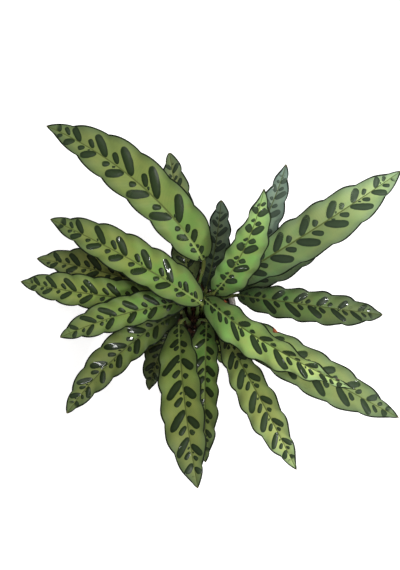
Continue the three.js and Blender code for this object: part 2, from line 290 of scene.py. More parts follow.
peat, tree, surface = finish_material("potting_mix")
peat_tone = blend(tree, cloud(tree, 0.006, 5), PEAT_DARK, PEAT_BROWN)
fibres = ramp(tree, cloud(tree, 0.0012, 2), 0.62, 0.72, 0, 0.8)
peat_tone = blend(tree, fibres, peat_tone, PEAT_FIBRE)
tree.links.new(peat_tone, surface.inputs["Base Color"])
surface.inputs["Roughness"].default_value = 0.95
bump(tree, surface, cloud(tree, 0.0015, 6, roughness=0.7), 0.0012)
soil = make_piece("root_ball", soil_shape, [peat])
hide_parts("soil")

# The leaves
# Each leaf grew as one piece: a slim round stalk with a swollen joint at its top, which bends into the
# midrib of a long thin blade. The blade's edges wave, its right half is the wider one, and it is maroon
# beneath. The stalks come out of the soil, and their lowest quarter is wrapped in the leaf's own sheath.
BLADE_THICKNESS = 0.00055
EDGE_THICKNESS = 0.0003
EDGE_THINNING = 6
KEEL_DEPTH = 0.0011
KEEL_TAPER = 0.8
KEEL_WIDTH = 0.0016
GROOVE_DEPTH = 0.0003
GROOVE_WIDTH = 0.0009
MIDRIB_STEPS = 60
BLADE_ROWS = 156
BLADE_COLUMNS = 28
END_CROWDING = 0.4
MIDRIB_CROWDING = 1.25
LEFT_SHARE = 0.88
RIGHT_SHARE = 1.12
BEND_EASE = 0.7
BASE_END_WIDTH = 0.0026
TIP_END_WIDTH = 0.0006
BELLY = 0.07
FOLD = math.radians(16)
FOLD_FLATTENING = 0.4
FOLD_SPREAD = 0.7
WAVE_PERIOD = 0.7
WAVE_HEIGHT = 0.0024
WAVE_RISE = 1.5
WAVE_SHEAR = 0.55
WAVE_START = 4
WAVE_END = 5
SCALLOP_DEPTH = 0.0013
SCALLOP_ROUNDNESS = 0.8
SCALLOP_START = 6
SCALLOP_END = 9
RIPPLE_HEIGHT = 0.00035
RIPPLE_PERIOD = 0.009
RIPPLE_STRETCH = 0.4
RIPPLE_RISE = 3
RIPPLE_SEED_STEP = 7.3

SPOT_BASE_SCALE = 0.36
SPOT_BASE_WIDTHS = 1.35
SPOT_TIP_SCALE = 0.66
SPOT_TIP_SHARE = 0.5
SPOT_COUNT_STEPS = 200
BASE_PLUMPING = 0.28
PLUMP_END = 0.3
# How the painted light and shade runs along a blade, from its base value to its middle and tip values.
PAINTED_LIGHT_MIDDLE = 0.5
PAINTED_LIGHT_REACH = 0.42
# Painted sheen: a greyish haze of reflected light painted over each blade, stronger towards its tip.
TIP_PAINTED_SHEEN = 0.1
PAINTED_SHEEN_START = 0.5

STALK_SIDES = 14
STALK_ROWS = 64
STALK_FOOT_RADIUS = 0.0022
STALK_TOP_RADIUS = 0.0015
STALK_TAPER = 1.3
STALK_SINK = 0.012
STALK_STRAIGHT = 0.005
STALK_ARCH = 0.38
STALK_BEND = 0.17
STALK_MIDDLE = 0.35
STALK_MIDDLE_HEIGHT = 0.42
JOINT_RADIUS = 0.00195
JOINT_START = 0.8
JOINT_FULL = 0.88
JOINT_DROP = 0.005
JOINT_BACK = 0.0012
JOINT_REACH = 0.007
JOINT_DEPTH = 0.0009
STALK_END_START = 0.955
STALK_END_TAPER = 0.75
CURVE_STEPS = 60
SHEATH_END = 0.24
SHEATH_FADE = 0.05
SHEATH_DEPTH = 0.2
SHEATH_WIDTH = 0.5

# Two lines for each leaf, in millimetres and degrees. The first gives where its stalk leaves the soil,
# where its blade starts, and how the blade runs from there. The second gives the painted light and shade
# at its base, middle and tip, as multipliers of its colour, how fresh its green is, how much painted grey
# sheen lies on it, how widely its markings are spaced, how far those left and right of the midrib are
# shifted towards the tip, and how plump they are.
Leaf = namedtuple("Leaf", (
    "foot_x foot_y x y z bearing bend pitch droop length width roll twist shoulder taper point "
    "base_tone tone tip_tone fresh bloom spacing left right plump"))
LEAF_ROWS = [
    (10, 3, 16, 32, 250, 120, 35, 30, 34, 216, 49, -16, 8, 0.9, 2.0, 0.8,
     1.14, 1.12, 1.0, 0.15, 0.04, 1.0, 0.55, -0.2, 1.0),
    (9, -7, 14, -12, 240, 148, 6, 24, 34, 183, 42, 0, 0, 1.1, 2.2, 0.7,
     0.88, 1.18, 0.95, 0.2, 0.0, 0.95, 0.15, -0.4, 1.0),
    (-8, 5, -20, 8, 188, 162, 7, 18, 30, 158, 38, 0, 0, 1.4, 1.8, 0.75,
     1.26, 1.25, 1.0, 0.0, 0.0, 1.0, 0.1, -0.5, 1.0),
    (-10, -2, -20, -3, 204, 184, -18, 18, 30, 168, 35, -5, 0, 1.4, 1.7, 0.8,
     1.15, 1.28, 1.05, 0.2, 0.0, 1.0, 0.38, -0.3, 1.0),
    (0, -5, -2, -7, 217, 188, 15, 24, 34, 142, 34, -10, 0, 1.1, 1.8, 0.7,
     0.3, 1.0, 1.02, 0.25, 0.0, 1.0, 0.35, -0.25, 1.0),
    (-6, -10, -10, -16, 201, 207, 27, 24, 36, 166, 37, -10, 0, 1.3, 2.2, 0.65,
     0.05, 0.7, 0.87, 0.1, 0.0, 1.0, 0.1, 0.22, 1.0),
    (-9, -17, -11, -24, 168, 226, 34, 14, 32, 86, 30, 0, 0, 1.2, 1.7, 0.75,
     0.14, 0.42, 0.58, 0.0, 0.03, 1.0, 0.1, 0.0, 1.0),
    (-1, -17, -10, -31, 212, 271, 10, 28, 24, 176, 44, 18, -10, 1.4, 1.6, 0.75,
     0.38, 0.97, 0.97, 0.05, 0.0, 1.0, 0.35, -0.33, 1.0),
    (10, -18, 20, -25, 186, 267, 4, 22, 28, 155, 34, 10, 10, 1.3, 1.7, 0.75,
     0.6, 0.75, 0.9, 0.3, 0.0, 1.0, 0.15, 0.2, 1.0),
    (20, -20, 36, -33, 184, 299, -3, 24, 30, 174, 40, 30, -10, 2.4, 1.9, 0.8,
     1.05, 1.49, 2.5, 0.0, 0.05, 0.95, 0.12, 0.35, 1.0),
    (15, -3, 18, -7, 238, 313, 23, 28, 30, 183, 46, 38, 30, 1.1, 2.6, 0.9,
     0.65, 2.15, 3.8, 0.22, 0.07, 0.85, 0.22, 0.4, 1.0),
    (21, -10, 34, -18, 205, 322, 11, 22, 28, 219, 46, -15, 10, 2.3, 2.0, 0.8,
     0.3, 1.55, 1.3, 0.2, 0.12, 1.0, -0.2, 0.1, 1.0),
    (27, 0, 54, 2, 209, 346, 8, 24, 32, 158, 36, -12, 5, 1.5, 1.7, 0.7,
     0.28, 0.8, 0.8, 0.3, 0.12, 0.98, 0.4, -0.45, 1.0),
    (23, 6, 38, 12, 225, 23, 12, 34, 32, 219, 49, -20, 18, 2.2, 1.9, 0.8,
     0.55, 1.14, 2.2, 0.25, 0.2, 0.95, -0.2, 0.15, 1.0),
    (29, 8, 50, 12, 194, 28, 5, 22, 26, 138, 43, -5, -10, 1.6, 1.7, 0.75,
     0.55, 0.76, 0.76, 0.2, 0.28, 1.0, 0.0, 0.0, 1.0),
    (18, 3, 27, -1, 242, 33, 46, 54, 18, 137, 38, 20, 5, 1.1, 2.0, 0.8,
     0.84, 1.38, 2.3, 0.65, 0.07, 0.9, 0.45, -0.1, 1.2),
    (25, 15, 46, 26, 206, 42, 32, 42, 20, 138, 32, 0, 0, 1.5, 2.6, 0.65,
     0.6, 0.88, 1.05, 0.1, 0.75, 1.0, -0.1, 0.0, 1.0),
    (17, 9, 19, 9, 205, 71, 14, 46, 22, 105, 27, 0, 0, 1.4, 1.8, 0.55,
     0.2, 0.57, 0.86, 0.1, 0.5, 1.0, 0.05, 0.0, 1.0),
    (2, 10, 1, 14, 206, 99, 0, 34, 26, 146, 32, -10, -8, 1.2, 1.9, 0.55,
     0.7, 1.36, 1.04, 0.0, 0.12, 1.0, 0.0, 0.25, 1.0),
    (15, -27, 20, -34, 148, 305, -6, 12, 26, 42, 18, 0, 0, 1.2, 1.5, 0.75,
     3.0, 3.0, 3.0, 0.2, 0.0, 1.0, 0.0, 0.0, 1.0),
]
IN_MILLIMETRES = ("foot_x", "foot_y", "x", "y", "z", "length", "width")
# Two blades are scorched at one place on their left edge: its distance from the base and its reach.
SCORCHES = {11: (0.028, 0.0032), 12: (0.064, 0.0055)}
# The markings of these leaves are dusty and don't shine.
DUSTY_LEAVES = {1, 5, 7, 14}


def leaf_from(row):
    """A leaf's named sizes from its row, with the lengths in metres."""
    leaf = Leaf(*row)
    return leaf._replace(**{name: getattr(leaf, name) / 1000 for name in IN_MILLIMETRES})


def blade_axes(leaf, t):
    """The blade's own directions at t from base (0) to tip (1): along it, to its left, out of its face."""
    heading = math.radians(leaf.bearing + leaf.bend * t ** BEND_EASE)
    slope = math.radians(leaf.pitch - leaf.droop * t)
    level_part = math.cos(slope)
    along = Vector((level_part * math.cos(heading), level_part * math.sin(heading), math.sin(slope)))
    level = Vector((-math.sin(heading), math.cos(heading), 0))
    roll = math.radians(leaf.roll + leaf.twist * t)
    left = level * math.cos(roll) + along.cross(level) * math.sin(roll)
    return along, left, along.cross(left)


def midrib_points(leaf):
    """Points down the midrib, stepped along the turning direction."""
    points = [Vector((leaf.x, leaf.y, leaf.z))]
    for i in range(MIDRIB_STEPS):
        along = blade_axes(leaf, (i + 0.5) / MIDRIB_STEPS)[0]
        points.append(points[-1] + along * leaf.length / MIDRIB_STEPS)
    return points


def value_on(values, t):
    """The number or point at t, from 0 to 1, on a list of even steps."""
    place = min(max(t, 0), 1) * (len(values) - 1)
    i = min(int(place), len(values) - 2)
    return values[i] + (values[i + 1] - values[i]) * (place - i)


def smooth(t):
    """Rises softly from 0 to 1 as t does."""
    t = min(max(t, 0), 1)
    return t * t * (3 - 2 * t)


def tip_share(leaf, t):
    """How much of the full width the taper towards the tip leaves at t."""
    from_tip = min(max((1 - t) * leaf.length / (leaf.taper * leaf.width), 0), 1)
    return math.sin(from_tip * math.pi / 2) ** leaf.point


def half_width(leaf, t):
    """Half of the blade's width at t: a rounded base, nearly parallel sides and a tapering tip."""
    from_base = min(max(t * leaf.length / (leaf.shoulder * leaf.width), 0), 1)
    base = math.sqrt(1 - (1 - from_base) ** 2)
    belly = 1 - BELLY * (1 - math.sin(math.pi * t))
    least = (BASE_END_WIDTH + (TIP_END_WIDTH - BASE_END_WIDTH) * t) / 2
    return max(least, leaf.width / 2 * base * tip_share(leaf, t) * belly)


def spot_scale(leaf, t):
    """How large the markings are at t, against those in the middle: small and close at the base and tip."""
    from_base = smooth(t * leaf.length / (SPOT_BASE_WIDTHS * leaf.width))
    from_tip = smooth((1 - t) / SPOT_TIP_SHARE)
    near_base = SPOT_BASE_SCALE + (1 - SPOT_BASE_SCALE) * from_base
    near_tip = SPOT_TIP_SCALE + (1 - SPOT_TIP_SCALE) * from_tip
    return near_base * near_tip


def wave_count(leaf):
    """How many waves the blade's edge has."""
    return leaf.length / (WAVE_PERIOD * leaf.width)


def spot_counts(leaf):
    """The count of markings passed on the way from the base, at even steps of t. It is in step with the
    edge's waves at the middle of the blade."""
    waves_per_step = wave_count(leaf) / SPOT_COUNT_STEPS
    counts = [0.0]
    for i in range(SPOT_COUNT_STEPS):
        scale = spot_scale(leaf, (i + 0.5) / SPOT_COUNT_STEPS)
        counts.append(counts[-1] + waves_per_step / (leaf.spacing * scale))
    shift = wave_count(leaf) / 2 - counts[SPOT_COUNT_STEPS // 2]
    return [count + shift for count in counts]


def painted_light_on(leaf, t):
    """The painted light and shade on the leaf at t, as a multiplier of its colour."""
    if t < PAINTED_LIGHT_MIDDLE:
        return leaf.base_tone + (leaf.tone - leaf.base_tone) * smooth(t / PAINTED_LIGHT_REACH)
    return leaf.tone + (leaf.tip_tone - leaf.tone) * smooth((t - PAINTED_LIGHT_MIDDLE) / PAINTED_LIGHT_REACH)


def build_blade(shape, leaf, seed):
    """The blade: two grids, its upper and lower face, moved onto the leaf and joined round the rim. Each
    point of the mesh carries its place on the leaf, which the leaf's materials read."""
    midrib = midrib_points(leaf)
    counts = spot_counts(leaf)
    waves = wave_count(leaf)
    vectors = shape.verts.layers.float_vector
    marking, place, painted_light_and_freshness, reach, pattern_shift = [
        vectors.new(name) for name in ("marking", "place", "painted_light_and_freshness", "reach", "pattern_shift")]
    shine = shape.verts.layers.float.new("shine")
    rims = []
    for upper in (True, False):
        grid = bmesh.ops.create_grid(shape, x_segments=BLADE_COLUMNS, y_segments=BLADE_ROWS, size=1)
        made = grid["verts"]
        faces = {face for vert in made for face in vert.link_faces}
        rims.append([edge for face in faces for edge in face.edges if edge.is_boundary])
        rows = {}
        for vert in made:
            even = (vert.co.y + 1) / 2
            v = -math.copysign(abs(vert.co.x) ** MIDRIB_CROWDING, vert.co.x)
            t = even - END_CROWDING * math.sin(math.tau * even) / math.tau
            if even not in rows:
                rows[even] = (*blade_axes(leaf, t)[1:], value_on(midrib, t), half_width(leaf, t))
            left, out, centre, plain_half = rows[even]
            across = abs(v)
            phase = math.tau * (waves * t - WAVE_SHEAR * across) + (math.pi if v < 0 else 0)
            ends = min(1, WAVE_START * t, WAVE_END * (1 - t))
            share = RIGHT_SHARE if v < 0 else LEFT_SHARE
            bulge = 2 * abs(math.cos(phase / 2)) ** SCALLOP_ROUNDNESS - 1
            edge_ends = min(1, SCALLOP_START * t, SCALLOP_END * (1 - t))
            half = plain_half * share + SCALLOP_DEPTH * edge_ends * across * bulge
            fold = half * math.sin(FOLD) * across * (1 - FOLD_FLATTENING * across)
            wave = WAVE_HEIGHT * ends * across ** WAVE_RISE * math.sin(phase)
            spread = v * half * math.cos(FOLD * FOLD_SPREAD)
            slanted = t * leaf.length - abs(spread)
            ripple_at = Vector((slanted, spread * RIPPLE_STRETCH, seed * RIPPLE_SEED_STEP))
            ripple = noise.noise(ripple_at / RIPPLE_PERIOD) * min(1, across * RIPPLE_RISE) * ends
            if upper:
                lift = BLADE_THICKNESS / 2 - GROOVE_DEPTH * math.exp(-(spread / GROOVE_WIDTH) ** 2)
            else:
                keel = KEEL_DEPTH * (1 - KEEL_TAPER * t) * math.exp(-(spread / KEEL_WIDTH) ** 2)
                lift = -BLADE_THICKNESS / 2 - keel
            lift *= 1 - (1 - EDGE_THICKNESS / BLADE_THICKNESS) * across ** EDGE_THINNING
            vert.co = centre + left * spread + out * (fold + wave + RIPPLE_HEIGHT * ripple + lift)
            period = WAVE_PERIOD * leaf.width * leaf.spacing * spot_scale(leaf, t)
            # The painted sheen grows over the outer half of the blade.
            tip_painted_sheen = TIP_PAINTED_SHEEN * smooth((t - PAINTED_SHEEN_START) / (1 - PAINTED_SHEEN_START))
            vert[marking] = (value_on(counts, t), v * half / period, seed)
            vert[place] = (t * leaf.length, across * half, half * (1 - across))
            # Each point carries the painted light and shade along the blade, its freshness and its painted
            # sheen.
            vert[painted_light_and_freshness] = (painted_light_on(leaf, t), leaf.fresh, leaf.bloom + tip_painted_sheen)
            vert[reach] = ((1 - t) * leaf.length, half / period, 0)
            if seed in SCORCHES and v > 0:
                scorch_at, scorch_reach = SCORCHES[seed]
                apart = math.hypot(t * leaf.length - scorch_at, half * (1 - across)) / scorch_reach
                vert[reach].z = 1 - min(apart, 1)
            plump = leaf.plump * (1 + BASE_PLUMPING * (1 - smooth(t / PLUMP_END)))
            vert[pattern_shift] = (leaf.left, leaf.right, plump)
            vert[shine] = 0 if seed in DUSTY_LEAVES else 1
        if not upper:
            bmesh.ops.reverse_faces(shape, faces=list(faces))
            for face in faces:
                face.material_index = 1
    bmesh.ops.bridge_loops(shape, edges=rims[0] + rims[1])


def stalk_points(leaf):
    """The stalk's foot, and points up its line: upright, arching outwards, then bending into the midrib."""
    along, left, out = blade_axes(leaf, 0)
    foot = Vector((leaf.foot_x, leaf.foot_y, soil_height(leaf.foot_x, leaf.foot_y)))
    base = Vector((leaf.x, leaf.y, leaf.z))
    rise = base.z - foot.z
    back = Vector((along.x, along.y, 0)).normalized() * -JOINT_BACK
    under = foot.lerp(base, STALK_ARCH)
    under.z = base.z - STALK_BEND * rise
    middle = foot.lerp(under, STALK_MIDDLE)
    middle.z = foot.z + STALK_MIDDLE_HEIGHT * rise
    knots = [
        foot + Vector((0, 0, STALK_STRAIGHT)),
        middle,
        under,
        base + back - Vector((0, 0, JOINT_DROP)),
        base + along * JOINT_REACH - out * JOINT_DEPTH,
    ]
    return foot, even_curve(knots)


def even_curve(knots):
    """Evenly spaced points on a smooth curve through the knots (a centripetal Catmull-Rom curve)."""
    ends = [knots[0] * 2 - knots[1], *knots, knots[-1] * 2 - knots[-2]]
    fine = []
    for p0, p1, p2, p3 in zip(ends, ends[1:], ends[2:], ends[3:]):
        t0 = 0.0
        t1 = t0 + (p1 - p0).length ** 0.5
        t2 = t1 + (p2 - p1).length ** 0.5
        t3 = t2 + (p3 - p2).length ** 0.5
        for i in range(CURVE_STEPS):
            t = t1 + (t2 - t1) * i / CURVE_STEPS
            a1 = p0.lerp(p1, (t - t0) / (t1 - t0))
            a2 = p1.lerp(p2, (t - t1) / (t2 - t1))
            a3 = p2.lerp(p3, (t - t2) / (t3 - t2))
            b1 = a1.lerp(a2, (t - t0) / (t2 - t0))
            b2 = a2.lerp(a3, (t - t1) / (t3 - t1))
            fine.append(b1.lerp(b2, (t - t1) / (t2 - t1)))
    fine.append(knots[-1].copy())
    lengths = [0.0]
    for before, after in zip(fine, fine[1:]):
        lengths.append(lengths[-1] + (after - before).length)
    even = []
    k = 0
    for i in range(STALK_ROWS + 1):
        target = lengths[-1] * i / STALK_ROWS
        while k < len(lengths) - 2 and lengths[k + 1] < target:
            k += 1
        even.append(fine[k].lerp(fine[k + 1], (target - lengths[k]) / (lengths[k + 1] - lengths[k])))
    return even


def stalk_radius(t):
    """Slimmer upwards, swollen at the joint, and running out to a point in the midrib's keel."""
    slim = STALK_FOOT_RADIUS + (STALK_TOP_RADIUS - STALK_FOOT_RADIUS) * min(1, t * STALK_TAPER)
    joint = smooth((t - JOINT_START) / (JOINT_FULL - JOINT_START))
    end = 1 - STALK_END_TAPER * smooth((t - STALK_END_START) / (1 - STALK_END_START))
    return (slim + (JOINT_RADIUS - slim) * joint) * end


def sheath_share(t):
    """How fully the leaf's own sheath wraps its stalk at t: its lower part only."""
    return 1 - smooth((t - SHEATH_END) / SHEATH_FADE)


def build_stalk(shape, leaf, seed):
    """The stalk: a closed tube whose rings are moved onto its line."""
    foot, points = stalk_points(leaf)
    centres = [foot - Vector((0, 0, STALK_SINK)), *points]
    radii = [STALK_FOOT_RADIUS, *[stalk_radius(i / STALK_ROWS) for i in range(STALK_ROWS + 1)]]
    sheaths = [1.0, *[sheath_share(i / STALK_ROWS) for i in range(STALK_ROWS + 1)]]
    count = len(centres)
    plain = bmesh.ops.create_cone(shape, cap_ends=True, segments=STALK_SIDES, radius1=1, radius2=1, depth=2)
    feet = [vert for vert in plain["verts"] if vert.co.z < 0]
    risers = [edge for vert in feet for edge in vert.link_edges if edge.other_vert(vert).co.z > 0]
    bmesh.ops.subdivide_edges(shape, edges=risers, cuts=count - 2, use_grid_fill=True)
    heading = math.radians(leaf.bearing)
    side = Vector((math.cos(heading), math.sin(heading), 0))
    frames = []
    for i in range(count):
        tangent = (centres[min(i + 1, count - 1)] - centres[max(i - 1, 0)]).normalized()
        side = (side - tangent * side.dot(tangent)).normalized()
        frames.append((side.copy(), tangent.cross(side)))
    place = shape.verts.layers.float_vector["place"]
    painted_light_and_freshness = shape.verts.layers.float_vector["painted_light_and_freshness"]
    marking = shape.verts.layers.float_vector["marking"]
    tube = [vert for vert in shape.verts if vert[marking].z == 0]
    for vert in tube:
        i = round((vert.co.z + 1) / 2 * (count - 1))
        first, second = frames[i]
        angle = math.atan2(vert.co.y, vert.co.x)
        deep = radii[i] * (1 + SHEATH_DEPTH * sheaths[i]) * math.cos(angle)
        wide = radii[i] * (1 + SHEATH_WIDTH * sheaths[i]) * math.sin(angle)
        vert.co = centres[i] + first * deep + second * wide
        vert[place] = (i / (count - 1), angle, leaf.z)
        # The stalk carries the painted light and shade of its blade's base, which darkens it.
        vert[painted_light_and_freshness] = (leaf.base_tone, leaf.fresh, leaf.bloom)
        vert[marking] = (0, 0, seed)
    for face in {face for vert in tube for face in vert.link_faces}:
        face.material_index = 2


# The leaf's upper face is satin yellow-green with a dark margin and glossy dark markings. They lean outwards
# and towards the tip on each side of the midrib: large ones, medium ones between them, and dots. The
# underside is maroon, and the stalk is green, redder at its foot.
LEAN_AT_RIB = 1.0
LEAN_GAIN = 0.35
LEAN_ANGLE = math.radians(40)
SPOT_LEAST_SIZE = 0.89
SPOT_SIZE_SPREAD = 0.22
SPOT_LEAST_LENGTH = 0.05
SPOT_ROOM_SHARE = 1.3
SPOT_ROOM_GAP = 0.06
SPOT_ROOT_WIDTH = 0.66
SPOT_END_POWER = 4.6
SPOT_SIDE_POWER = 2.2
SPOT_WOBBLE = 0.24
SPOT_WOBBLE_SIZE = 0.22
RIGHT_HALF_SEED = 31.0
SPOTS_END_FROM_TIP = 0.012
SPOTS_END_FROM_EDGE = 0.0012
VEINS_PER_SPOT = 15


def lean_of(group, across):
    """How far towards the tip a marking or side vein has run at the given distance from the midrib."""
    return sum_of(group, "MULTIPLY", across, sum_of(group, "MULTIPLY_ADD", across, LEAN_GAIN, LEAN_AT_RIB))


def spot_row_group():
    """A row of long rounded markings on one side of a midrib, as a mask from 0 to 1 and a height.
    Along counts markings. Across and Room are the distances from the midrib to the point and to the edge of
    the blade. All sizes are in spacings of the row."""
    group = bpy.data.node_groups.new("spot_row", "ShaderNodeTree")
    for name in ("Along", "Across", "Room", "Offset", "Start", "Length", "Width", "Jitter", "Chance",
                 "Seed"):
        group.interface.new_socket(name, in_out="INPUT", socket_type="NodeSocketFloat")
    for name in ("Mask", "Height"):
        group.interface.new_socket(name, in_out="OUTPUT", socket_type="NodeSocketFloat")
    given = group.nodes.new("NodeGroupInput").outputs
    result = group.nodes.new("NodeGroupOutput").inputs
    across = given["Across"]
    level = sum_of(group, "SUBTRACT", given["Along"], lean_of(group, across))
    place = sum_of(group, "SUBTRACT", level, given["Offset"])
    count = sum_of(group, "ROUND", place)
    key = add(group, "CombineXYZ", {0: count, 1: given["Seed"], 2: given["Offset"]}).outputs[0]
    draw = add(group, "TexWhiteNoise", {"Vector": key}, noise_dimensions="3D")
    draws = add(group, "SeparateXYZ", {0: draw.outputs["Color"]}).outputs
    shift = sum_of(group, "MULTIPLY", sum_of(group, "SUBTRACT", draws[0], 0.5), given["Jitter"])
    beside = sum_of(group, "SUBTRACT", sum_of(group, "SUBTRACT", place, count), shift)
    along = sum_of(group, "ADD", sum_of(group, "MULTIPLY", beside, math.cos(LEAN_ANGLE)),
                   sum_of(group, "DIVIDE", across, math.sin(LEAN_ANGLE)))
    size = sum_of(group, "MULTIPLY_ADD", draws[1], SPOT_SIZE_SPREAD, SPOT_LEAST_SIZE)
    room = sum_of(group, "MULTIPLY_ADD", given["Room"], SPOT_ROOM_SHARE, -SPOT_ROOM_GAP)
    whole = sum_of(group, "MINIMUM", sum_of(group, "MULTIPLY", given["Length"], size), room)
    half_length = sum_of(group, "MULTIPLY", sum_of(group, "MAXIMUM", whole, SPOT_LEAST_LENGTH), 0.5)
    centre = sum_of(group, "ADD", given["Start"], half_length)
    u = sum_of(group, "DIVIDE", sum_of(group, "SUBTRACT", along, centre), half_length)
    slimmer = ramp(group, u, -1.1, 0.2, SPOT_ROOT_WIDTH, 1.0)
    half_wide = sum_of(group, "MULTIPLY", sum_of(group, "MULTIPLY", given["Width"], 0.5), slimmer)
    w = sum_of(group, "DIVIDE", sum_of(group, "MULTIPLY", beside, math.sin(LEAN_ANGLE)), half_wide)
    u_part = sum_of(group, "POWER", sum_of(group, "ABSOLUTE", u), SPOT_END_POWER)
    w_part = sum_of(group, "POWER", sum_of(group, "ABSOLUTE", w), SPOT_SIDE_POWER)
    reach = sum_of(group, "POWER", sum_of(group, "ADD", u_part, w_part), 0.5)
    wobble_at = add(group, "CombineXYZ", {0: given["Along"], 1: across, 2: given["Seed"]}).outputs[0]
    wobble = sum_of(group, "SUBTRACT", cloud(group, SPOT_WOBBLE_SIZE, 1.5, wobble_at), 0.5)
    reach = sum_of(group, "MULTIPLY_ADD", wobble, SPOT_WOBBLE, reach)
    there = sum_of(group, "LESS_THAN", draws[2], given["Chance"])
    mask = ramp(group, reach, 0.93, 1.05, 1.0, 0.0)
    height = ramp(group, reach, 0.0, 1.1, 1.0, 0.0)
    group.links.new(sum_of(group, "MULTIPLY", mask, there), result["Mask"])
    group.links.new(sum_of(group, "MULTIPLY", height, there), result["Height"])
    return group


def leaf_markings_group(spot_row):
    """The whole marking of a blade: spots on both sides of the midrib, and the fine side veins."""
    group = bpy.data.node_groups.new("leaf_markings", "ShaderNodeTree")
    for name in ("Along", "Across", "Room", "Left Shift", "Right Shift", "Plump", "Seed", "From Tip",
                 "From Edge"):
        group.interface.new_socket(name, in_out="INPUT", socket_type="NodeSocketFloat")
    for name in ("Spots", "Spot Height", "Veins"):
        group.interface.new_socket(name, in_out="OUTPUT", socket_type="NodeSocketFloat")
    given = group.nodes.new("NodeGroupInput").outputs
    result = group.nodes.new("NodeGroupOutput").inputs
    right = sum_of(group, "LESS_THAN", given["Across"], 0.0)
    across = sum_of(group, "ABSOLUTE", given["Across"])
    seed = sum_of(group, "MULTIPLY_ADD", right, RIGHT_HALF_SEED, given["Seed"])

    def by_side(left_value, right_value):
        return sum_of(group, "MULTIPLY_ADD", right, right_value - left_value, left_value)

    shift_step = sum_of(group, "SUBTRACT", given["Right Shift"], given["Left Shift"])
    shift = sum_of(group, "MULTIPLY_ADD", right, shift_step, given["Left Shift"])
    along = sum_of(group, "SUBTRACT", given["Along"], shift)
    # The large markings, the medium ones and the dots: where each row lies along and out from the midrib,
    # the length and width of its markings, how unevenly they lie, and what share of them is there.
    rows = [
        (by_side(0.05, 0.52), 0.04, by_side(0.66, 0.88), by_side(0.28, 0.30), 0.09, 0.99),
        (by_side(0.53, 1.02), 0.09, by_side(0.26, 0.38), by_side(0.18, 0.19), 0.11, 0.92),
        (by_side(0.30, 0.80), 0.06, by_side(0.11, 0.14), by_side(0.065, 0.07), 0.16, 0.55),
    ]
    masks = []
    heights = []
    for offset, start, length, width, jitter, chance in rows:
        length = sum_of(group, "DIVIDE", length, given["Plump"])
        width = sum_of(group, "MULTIPLY", width, given["Plump"])
        values = {"Along": along, "Across": across, "Room": given["Room"], "Offset": offset, "Start": start,
                  "Length": length, "Width": width, "Jitter": jitter, "Chance": chance, "Seed": seed}
        row = add(group, "Group", values, node_tree=spot_row).outputs
        masks.append(row["Mask"])
        heights.append(row["Height"])
    tip_fade = ramp(group, given["From Tip"], SPOTS_END_FROM_TIP - 0.002, SPOTS_END_FROM_TIP + 0.002)
    edge_fade = ramp(group, given["From Edge"], SPOTS_END_FROM_EDGE / 2, SPOTS_END_FROM_EDGE * 1.5)
    fade = sum_of(group, "MULTIPLY", tip_fade, edge_fade)
    spots = sum_of(group, "MAXIMUM", sum_of(group, "MAXIMUM", masks[0], masks[1]), masks[2])
    height = sum_of(group, "MAXIMUM", sum_of(group, "MAXIMUM", heights[0], heights[1]), heights[2])
    group.links.new(sum_of(group, "MULTIPLY", spots, fade), result["Spots"])
    group.links.new(sum_of(group, "MULTIPLY", height, fade), result["Spot Height"])
    vein_place = sum_of(group, "SUBTRACT", given["Along"], lean_of(group, across))
    vein = sum_of(group, "SINE", sum_of(group, "MULTIPLY", vein_place, math.tau * VEINS_PER_SPOT))
    group.links.new(sum_of(group, "MULTIPLY_ADD", vein, 0.5, 0.5), result["Veins"])
    return group


spot_row = spot_row_group()
markings = leaf_markings_group(spot_row)


def leaf_record(tree, name):
    """The three numbers that each point of a leaf's mesh carries under the name."""
    record = add(tree, "Attribute", attribute_name=name).outputs["Vector"]
    return add(tree, "SeparateXYZ", {0: record}).outputs


def leaf_pattern(tree):
    """The markings and veins at each point of a blade."""
    marking = leaf_record(tree, "marking")
    reach = leaf_record(tree, "reach")
    shifts = leaf_record(tree, "pattern_shift")
    values = {"Along": marking[0], "Across": marking[1], "Seed": marking[2], "From Tip": reach[0],
              "Room": reach[1], "Left Shift": shifts[0], "Right Shift": shifts[1], "Plump": shifts[2],
              "From Edge": leaf_record(tree, "place")[2]}
    return add(tree, "Group", values, node_tree=markings).outputs


def lightened(tree, value, colour):
    """The colour made darker or lighter, which paints light and shade on it. It stays as it is where value
    is 1.
    """
    return add(tree, "HueSaturation", {"Value": value, "Color": colour}).outputs[0]


# Upper face: yellow-green between the markings, greener near the base and the margin, with a dark rim line
LAMINA_OLIVE = paint("7b8443")
LAMINA_FRESH = paint("679244")
LAMINA_BASE = paint("6a9745")
LAMINA_CLOUD = paint("8b9048")
MARGIN_GREEN = paint("52633a")
MARGIN_LEAST = 0.0015
MARGIN_SPREAD = 0.017
VEIN_GREEN = paint("42602a")
# The colour of the painted sheen on the lamina.
PAINTED_SHEEN_GREY = paint("8ba5a6")
SPOT_BLACK = paint("1c2811")
SPOT_GREEN = paint("273517")
SPOT_VEIN = paint("324727")
SPOT_CENTRE = paint("3d4d2f")
# The colour of the painted sheen on the markings.
SPOT_PAINTED_SHEEN = paint("84988c")
RIB_BASE = paint("8ea35a")
RIB_GREEN = paint("515b2d")
RIB_HALF_WIDTH = 0.00025
RIB_WIDENING = 0.0045
RIM_BLACK = paint("10180d")
SCORCH_BROWN = paint("5e3320")
SCORCH_ORANGE = paint("a85a34")
TIP_BROWN = paint("74683c")
LEAF_ROUGHNESS = 0.45
SPOT_ROUGHNESS = 0.34
SPOT_SHINE = 0.3
SPOT_RELIEF = 1.8
VEIN_RELIEF = 0.16
SWELL_RELIEF = 0.25
LEAF_RELIEF_DEPTH = 0.0003

